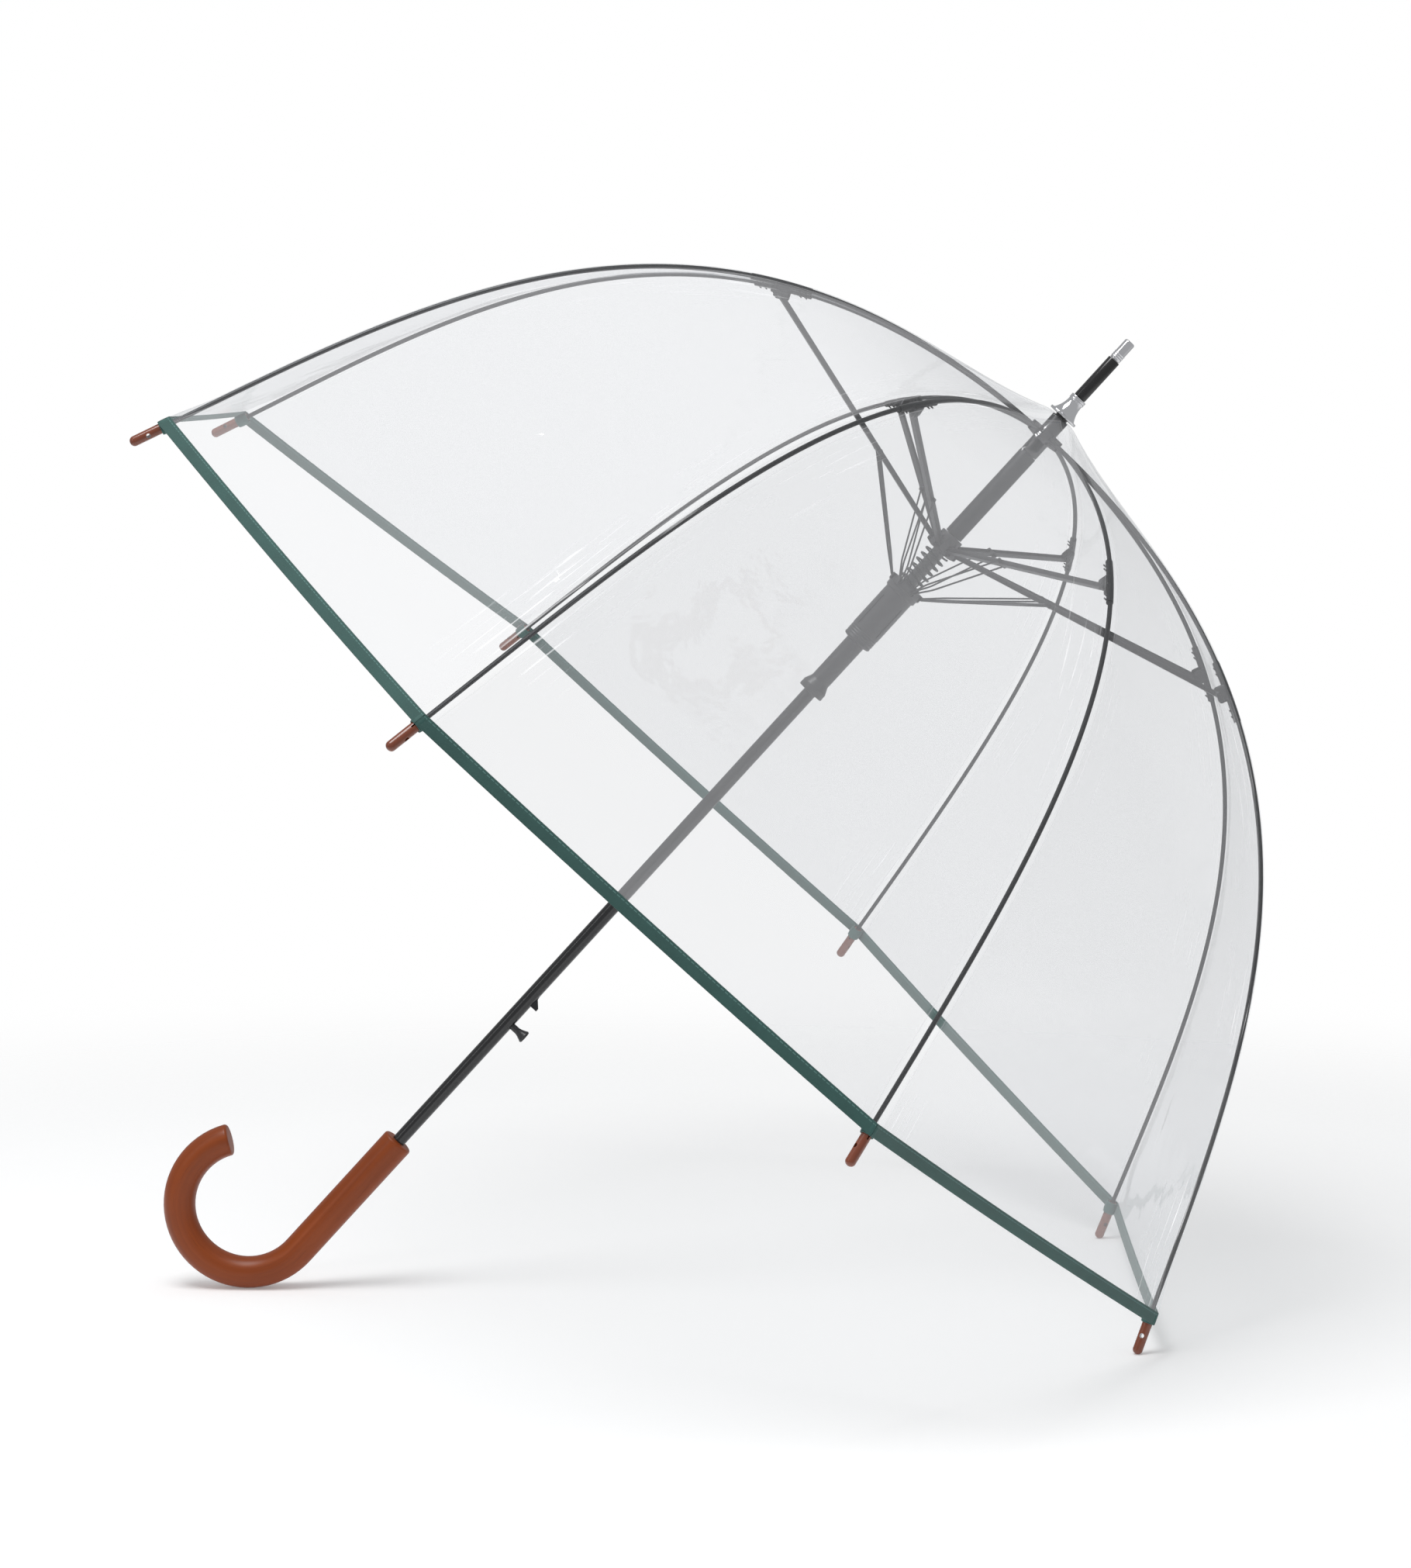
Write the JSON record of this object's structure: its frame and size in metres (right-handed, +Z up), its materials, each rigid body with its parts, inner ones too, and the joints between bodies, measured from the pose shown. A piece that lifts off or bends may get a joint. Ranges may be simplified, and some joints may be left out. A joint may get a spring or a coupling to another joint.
{
  "type": "dome umbrella",
  "caption": "Clear dome umbrella with a push-button folding frame, a film canopy bound with green tape, brown rib tips and a bent wooden crook handle.",
  "frame": {"origin": "on the floor, under the middle of the umbrella's box", "axes": "+Z up; +X from the handle towards the ferrule along the floor; +Y across, to the far side"},
  "size_m": [0.7274, 0.856, 0.6869],
  "materials": {
    "clear_film": "clear glossy film",
    "green_tape": "woven tape, matt",
    "brown_wood": "stained, satin lacquer",
    "brown_plastic": "glossy",
    "black_steel": "gloss black paint",
    "frame_steel": "satin dark grey",
    "chrome": "bright",
    "black_plastic": "satin black"
  },
  "bodies": {
    "root": {"canopy": "clear_film", "rim_binding": "green_tape", "crown_notch": "black_plastic", "cap": "chrome", "ferrule_sleeve": "black_plastic", "ferrule_tip": "chrome", "shaft": "black_steel", "stop_sleeve": "frame_steel", "handle": "brown_wood", "leaf_spring": "frame_steel"},
    "rib_upper_1": {"rib_upper_1": "frame_steel"},
    "rib_lower_1": {"rib_lower_1": "frame_steel", "nib_1": "brown_plastic"},
    "stretcher_1": {"stretcher_1": "frame_steel"},
    "strut_1": {"strut_1": "frame_steel"},
    "rib_upper_2": {"rib_upper_2": "frame_steel"},
    "rib_lower_2": {"rib_lower_2": "frame_steel", "nib_2": "brown_plastic"},
    "stretcher_2": {"stretcher_2": "frame_steel"},
    "strut_2": {"strut_2": "frame_steel"},
    "rib_upper_3": {"rib_upper_3": "frame_steel"},
    "rib_lower_3": {"rib_lower_3": "frame_steel", "nib_3": "brown_plastic"},
    "stretcher_3": {"stretcher_3": "frame_steel"},
    "strut_3": {"strut_3": "frame_steel"},
    "rib_upper_4": {"rib_upper_4": "frame_steel"},
    "rib_lower_4": {"rib_lower_4": "frame_steel", "nib_4": "brown_plastic"},
    "stretcher_4": {"stretcher_4": "frame_steel"},
    "strut_4": {"strut_4": "frame_steel"},
    "rib_upper_5": {"rib_upper_5": "frame_steel"},
    "rib_lower_5": {"rib_lower_5": "frame_steel", "nib_5": "brown_plastic"},
    "stretcher_5": {"stretcher_5": "frame_steel"},
    "strut_5": {"strut_5": "frame_steel"},
    "rib_upper_6": {"rib_upper_6": "frame_steel"},
    "rib_lower_6": {"rib_lower_6": "frame_steel", "nib_6": "brown_plastic"},
    "stretcher_6": {"stretcher_6": "frame_steel"},
    "strut_6": {"strut_6": "frame_steel"},
    "rib_upper_7": {"rib_upper_7": "frame_steel"},
    "rib_lower_7": {"rib_lower_7": "frame_steel", "nib_7": "brown_plastic"},
    "stretcher_7": {"stretcher_7": "frame_steel"},
    "strut_7": {"strut_7": "frame_steel"},
    "rib_upper_8": {"rib_upper_8": "frame_steel"},
    "rib_lower_8": {"rib_lower_8": "frame_steel", "nib_8": "brown_plastic"},
    "stretcher_8": {"stretcher_8": "frame_steel"},
    "strut_8": {"strut_8": "frame_steel"},
    "main_runner": {"main_runner": "black_plastic", "opening_spring": "frame_steel"},
    "lower_runner": {"lower_runner": "black_plastic"},
    "release_button": {"release_button": "black_plastic"},
    "catch": {"catch": "frame_steel"}
  },
  "joints": [
    {"name": "canopy_fold", "type": "hinge", "parent": "root", "child": "rib_upper_1", "pos_m": [0.23472, 0.00383, 0.56976], "axis": [-0.2831, 0.9239, 0.2575], "range_deg": [0, 72], "stiffness_Nm_per_rad": 0.35, "springref_deg": -114.59, "deforming": ["canopy", "rim_binding"]},
    {"name": "rib_fold_2", "type": "hinge", "parent": "root", "child": "rib_upper_2", "pos_m": [0.23072, 0.00924, 0.5734], "axis": [-0.6834, 0.3827, 0.6217], "range_deg": [0, 72.14]},
    {"name": "rib_fold_3", "type": "hinge", "parent": "root", "child": "rib_upper_3", "pos_m": [0.22506, 0.00924, 0.57855], "axis": [-0.6834, -0.3827, 0.6217], "range_deg": [0, 72.14]},
    {"name": "rib_fold_4", "type": "hinge", "parent": "root", "child": "rib_upper_4", "pos_m": [0.22106, 0.00383, 0.58219], "axis": [-0.2831, -0.9239, 0.2575], "range_deg": [0, 72.14]},
    {"name": "rib_fold_5", "type": "hinge", "parent": "root", "child": "rib_upper_5", "pos_m": [0.22106, -0.00383, 0.58219], "axis": [0.2831, -0.9239, -0.2575], "range_deg": [0, 72.14]},
    {"name": "rib_fold_6", "type": "hinge", "parent": "root", "child": "rib_upper_6", "pos_m": [0.22506, -0.00924, 0.57855], "axis": [0.6834, -0.3827, -0.6217], "range_deg": [0, 72.14]},
    {"name": "rib_fold_7", "type": "hinge", "parent": "root", "child": "rib_upper_7", "pos_m": [0.23072, -0.00924, 0.5734], "axis": [0.6834, 0.3827, -0.6217], "range_deg": [0, 72.14]},
    {"name": "rib_fold_8", "type": "hinge", "parent": "root", "child": "rib_upper_8", "pos_m": [0.23472, -0.00383, 0.56976], "axis": [0.2831, 0.9239, -0.2575], "range_deg": [0, 72.14]},
    {"name": "rib_bend_1", "type": "hinge", "parent": "rib_upper_1", "child": "rib_lower_1", "pos_m": [0.34894, 0.08806, 0.39311], "axis": [-0.2831, 0.9239, 0.2575], "range_deg": [-35.94, 0]},
    {"name": "stretcher_fold_1", "type": "hinge", "parent": "rib_upper_1", "child": "stretcher_1", "pos_m": [0.33672, 0.07953, 0.41029], "axis": [-0.2831, 0.9239, 0.2575], "range_deg": [-144.29, 0]},
    {"name": "strut_fold_1", "type": "hinge", "parent": "stretcher_1", "child": "strut_1", "pos_m": [0.22946, 0.0313, 0.46539], "axis": [-0.2831, 0.9239, 0.2575], "range_deg": [0, 21.92]},
    {"name": "rib_bend_2", "type": "hinge", "parent": "rib_upper_2", "child": "rib_lower_2", "pos_m": [0.25682, 0.2126, 0.47691], "axis": [-0.6834, 0.3827, 0.6217], "range_deg": [-35.94, 0]},
    {"name": "stretcher_fold_2", "type": "hinge", "parent": "rib_upper_2", "child": "stretcher_2", "pos_m": [0.25353, 0.192, 0.48597], "axis": [-0.6834, 0.3827, 0.6217], "range_deg": [-144.29, 0]},
    {"name": "strut_fold_2", "type": "hinge", "parent": "stretcher_2", "child": "strut_2", "pos_m": [0.19671, 0.07558, 0.49518], "axis": [-0.6834, 0.3827, 0.6217], "range_deg": [0, 21.92]},
    {"name": "rib_bend_3", "type": "hinge", "parent": "rib_upper_3", "child": "rib_lower_3", "pos_m": [0.12654, 0.2126, 0.59543], "axis": [-0.6834, -0.3827, 0.6217], "range_deg": [-35.94, 0]},
    {"name": "stretcher_fold_3", "type": "hinge", "parent": "rib_upper_3", "child": "stretcher_3", "pos_m": [0.13587, 0.192, 0.59301], "axis": [-0.6834, -0.3827, 0.6217], "range_deg": [-144.29, 0]},
    {"name": "strut_fold_3", "type": "hinge", "parent": "stretcher_3", "child": "strut_3", "pos_m": [0.1504, 0.07558, 0.53731], "axis": [-0.6834, -0.3827, 0.6217], "range_deg": [0, 21.92]},
    {"name": "rib_bend_4", "type": "hinge", "parent": "rib_upper_4", "child": "rib_lower_4", "pos_m": [0.03442, 0.08806, 0.67923], "axis": [-0.2831, -0.9239, 0.2575], "range_deg": [-35.94, 0]},
    {"name": "stretcher_fold_4", "type": "hinge", "parent": "rib_upper_4", "child": "stretcher_4", "pos_m": [0.05268, 0.07953, 0.66869], "axis": [-0.2831, -0.9239, 0.2575], "range_deg": [-144.29, 0]},
    {"name": "strut_fold_4", "type": "hinge", "parent": "stretcher_4", "child": "strut_4", "pos_m": [0.11765, 0.0313, 0.56711], "axis": [-0.2831, -0.9239, 0.2575], "range_deg": [0, 21.92]},
    {"name": "rib_bend_5", "type": "hinge", "parent": "rib_upper_5", "child": "rib_lower_5", "pos_m": [0.03442, -0.08806, 0.67923], "axis": [0.2831, -0.9239, -0.2575], "range_deg": [-35.94, 0]},
    {"name": "stretcher_fold_5", "type": "hinge", "parent": "rib_upper_5", "child": "stretcher_5", "pos_m": [0.05268, -0.07953, 0.66869], "axis": [0.2831, -0.9239, -0.2575], "range_deg": [-144.29, 0]},
    {"name": "strut_fold_5", "type": "hinge", "parent": "stretcher_5", "child": "strut_5", "pos_m": [0.11765, -0.0313, 0.56711], "axis": [0.2831, -0.9239, -0.2575], "range_deg": [0, 21.92]},
    {"name": "rib_bend_6", "type": "hinge", "parent": "rib_upper_6", "child": "rib_lower_6", "pos_m": [0.12654, -0.2126, 0.59543], "axis": [0.6834, -0.3827, -0.6217], "range_deg": [-35.94, 0]},
    {"name": "stretcher_fold_6", "type": "hinge", "parent": "rib_upper_6", "child": "stretcher_6", "pos_m": [0.13587, -0.192, 0.59301], "axis": [0.6834, -0.3827, -0.6217], "range_deg": [-144.29, 0]},
    {"name": "strut_fold_6", "type": "hinge", "parent": "stretcher_6", "child": "strut_6", "pos_m": [0.1504, -0.07558, 0.53731], "axis": [0.6834, -0.3827, -0.6217], "range_deg": [0, 21.92]},
    {"name": "rib_bend_7", "type": "hinge", "parent": "rib_upper_7", "child": "rib_lower_7", "pos_m": [0.25682, -0.2126, 0.47691], "axis": [0.6834, 0.3827, -0.6217], "range_deg": [-35.94, 0]},
    {"name": "stretcher_fold_7", "type": "hinge", "parent": "rib_upper_7", "child": "stretcher_7", "pos_m": [0.25353, -0.192, 0.48597], "axis": [0.6834, 0.3827, -0.6217], "range_deg": [-144.29, 0]},
    {"name": "strut_fold_7", "type": "hinge", "parent": "stretcher_7", "child": "strut_7", "pos_m": [0.19671, -0.07558, 0.49518], "axis": [0.6834, 0.3827, -0.6217], "range_deg": [0, 21.92]},
    {"name": "rib_bend_8", "type": "hinge", "parent": "rib_upper_8", "child": "rib_lower_8", "pos_m": [0.34894, -0.08806, 0.39311], "axis": [0.2831, 0.9239, -0.2575], "range_deg": [-35.94, 0]},
    {"name": "stretcher_fold_8", "type": "hinge", "parent": "rib_upper_8", "child": "stretcher_8", "pos_m": [0.33672, -0.07953, 0.41029], "axis": [0.2831, 0.9239, -0.2575], "range_deg": [-144.29, 0]},
    {"name": "strut_fold_8", "type": "hinge", "parent": "stretcher_8", "child": "strut_8", "pos_m": [0.22946, -0.0313, 0.46539], "axis": [0.2831, 0.9239, -0.2575], "range_deg": [0, 21.92]},
    {"name": "main_runner_hang", "type": "hinge", "parent": "stretcher_1", "child": "main_runner", "pos_m": [0.16834, 0.00383, 0.49679], "axis": [-0.2831, 0.9239, 0.2575], "range_deg": [0, 72.14]},
    {"name": "lower_runner_slide", "type": "slide", "parent": "main_runner", "child": "lower_runner", "axis": [0.6729, 0, 0.7397], "range_m": [0, 0.02325], "deforming": ["opening_spring"]},
    {"name": "button_press", "type": "slide", "parent": "root", "child": "release_button", "axis": [-0.7397, 0, 0.6729], "range_m": [0, 0.0035], "stiffness_N_per_m": 250, "springref_m": -0.003},
    {"name": "catch_press", "type": "slide", "parent": "root", "child": "catch", "axis": [-0.7397, 0, 0.6729], "range_m": [0, 0.00421], "deforming": ["leaf_spring"]}
  ],
  "couplings": [
    {"joint": "rib_fold_2", "follows": "canopy_fold", "ratio": 1},
    {"joint": "rib_fold_3", "follows": "canopy_fold", "ratio": 1},
    {"joint": "rib_fold_4", "follows": "canopy_fold", "ratio": 1},
    {"joint": "rib_fold_5", "follows": "canopy_fold", "ratio": 1},
    {"joint": "rib_fold_6", "follows": "canopy_fold", "ratio": 1},
    {"joint": "rib_fold_7", "follows": "canopy_fold", "ratio": 1},
    {"joint": "rib_fold_8", "follows": "canopy_fold", "ratio": 1},
    {"joint": "rib_bend_1", "follows": "canopy_fold", "ratio": -0.49824},
    {"joint": "stretcher_fold_1", "follows": "canopy_fold", "ratio": -2},
    {"joint": "strut_fold_1", "follows": "canopy_fold", "ratio": 0.30388},
    {"joint": "rib_bend_2", "follows": "canopy_fold", "ratio": -0.49824},
    {"joint": "stretcher_fold_2", "follows": "canopy_fold", "ratio": -2},
    {"joint": "strut_fold_2", "follows": "canopy_fold", "ratio": 0.30388},
    {"joint": "rib_bend_3", "follows": "canopy_fold", "ratio": -0.49824},
    {"joint": "stretcher_fold_3", "follows": "canopy_fold", "ratio": -2},
    {"joint": "strut_fold_3", "follows": "canopy_fold", "ratio": 0.30388},
    {"joint": "rib_bend_4", "follows": "canopy_fold", "ratio": -0.49824},
    {"joint": "stretcher_fold_4", "follows": "canopy_fold", "ratio": -2},
    {"joint": "strut_fold_4", "follows": "canopy_fold", "ratio": 0.30388},
    {"joint": "rib_bend_5", "follows": "canopy_fold", "ratio": -0.49824},
    {"joint": "stretcher_fold_5", "follows": "canopy_fold", "ratio": -2},
    {"joint": "strut_fold_5", "follows": "canopy_fold", "ratio": 0.30388},
    {"joint": "rib_bend_6", "follows": "canopy_fold", "ratio": -0.49824},
    {"joint": "stretcher_fold_6", "follows": "canopy_fold", "ratio": -2},
    {"joint": "strut_fold_6", "follows": "canopy_fold", "ratio": 0.30388},
    {"joint": "rib_bend_7", "follows": "canopy_fold", "ratio": -0.49824},
    {"joint": "stretcher_fold_7", "follows": "canopy_fold", "ratio": -2},
    {"joint": "strut_fold_7", "follows": "canopy_fold", "ratio": 0.30388},
    {"joint": "rib_bend_8", "follows": "canopy_fold", "ratio": -0.49824},
    {"joint": "stretcher_fold_8", "follows": "canopy_fold", "ratio": -2},
    {"joint": "strut_fold_8", "follows": "canopy_fold", "ratio": 0.30388},
    {"joint": "main_runner_hang", "follows": "canopy_fold", "ratio": 1},
    {"joint": "lower_runner_slide", "follows": "canopy_fold", "m_per_rad": 0.018465},
    {"joint": "catch_press", "follows": "button_press", "ratio": 1.2}
  ]
}
